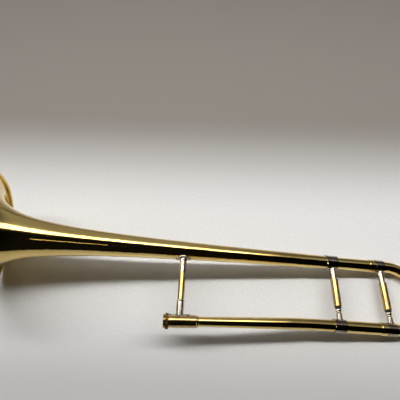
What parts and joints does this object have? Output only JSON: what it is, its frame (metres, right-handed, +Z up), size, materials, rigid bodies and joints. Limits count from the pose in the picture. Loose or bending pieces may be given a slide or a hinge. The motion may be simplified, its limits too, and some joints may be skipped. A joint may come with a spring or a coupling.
{
  "type": "trombone bell section",
  "caption": "Trombone bell section lying on its side: flared bell, gooseneck with open slide receiver, braces and a sliding tuning crook.",
  "frame": {"origin": "bottom centre of the bounding box, on the surface that the section lies on", "axes": "+Z up; +X along the bell, seen from above, from its mouth to the crook; +Y from the gooseneck to the bell. The section lies on its side, tilted so that the rim and the crook both touch the surface."},
  "size_m": [0.6736, 0.2096, 0.1889],
  "materials": {
    "lacquered_brass": "polished yellow brass under clear lacquer",
    "brace_brass": "bright polished brass tube",
    "receiver_brass": "darker worn brass",
    "nickel_silver": null,
    "slide_nickel": "drawn nickel silver tube, greased",
    "black_rubber": "matt black rubber",
    "wire_steel": "plain drawn wire, hidden in the rim"
  },
  "bodies": {
    "root": {"bell": "lacquered_brass", "bell_ferrule": "nickel_silver", "bell_leg_band": "lacquered_brass", "bell_outer_leg": "lacquered_brass", "front_brace_flange": "nickel_silver", "front_brace_post": "nickel_silver", "front_brace_ring": "nickel_silver", "front_brace_socket": "nickel_silver", "front_brace_tube": "brace_brass", "gooseneck": "lacquered_brass", "neck_ferrule": "nickel_silver", "neck_leg_band": "lacquered_brass", "neck_outer_leg": "lacquered_brass", "rear_brace_bumper": "black_rubber", "rear_brace_lower_post": "nickel_silver", "rear_brace_sleeve": "brace_brass", "rear_brace_upper_post": "nickel_silver", "receiver": "receiver_brass", "receiver_collar": "receiver_brass", "receiver_saddle": "nickel_silver", "rim_wire": "wire_steel"},
    "tuning_slide": {"crook": "lacquered_brass", "bell_inner_leg": "slide_nickel", "neck_inner_leg": "slide_nickel", "bell_crook_ferrule": "nickel_silver", "neck_crook_ferrule": "nickel_silver", "slide_brace_upper_post": "nickel_silver", "slide_brace_sleeve": "brace_brass", "slide_brace_bumper": "black_rubber", "slide_brace_lower_post": "nickel_silver"}
  },
  "joints": [
    {"name": "tuning_slide_pull", "type": "slide", "parent": "root", "child": "tuning_slide", "axis": [0.9914, 0, -0.1308], "range_m": [0, 0.045]}
  ]
}
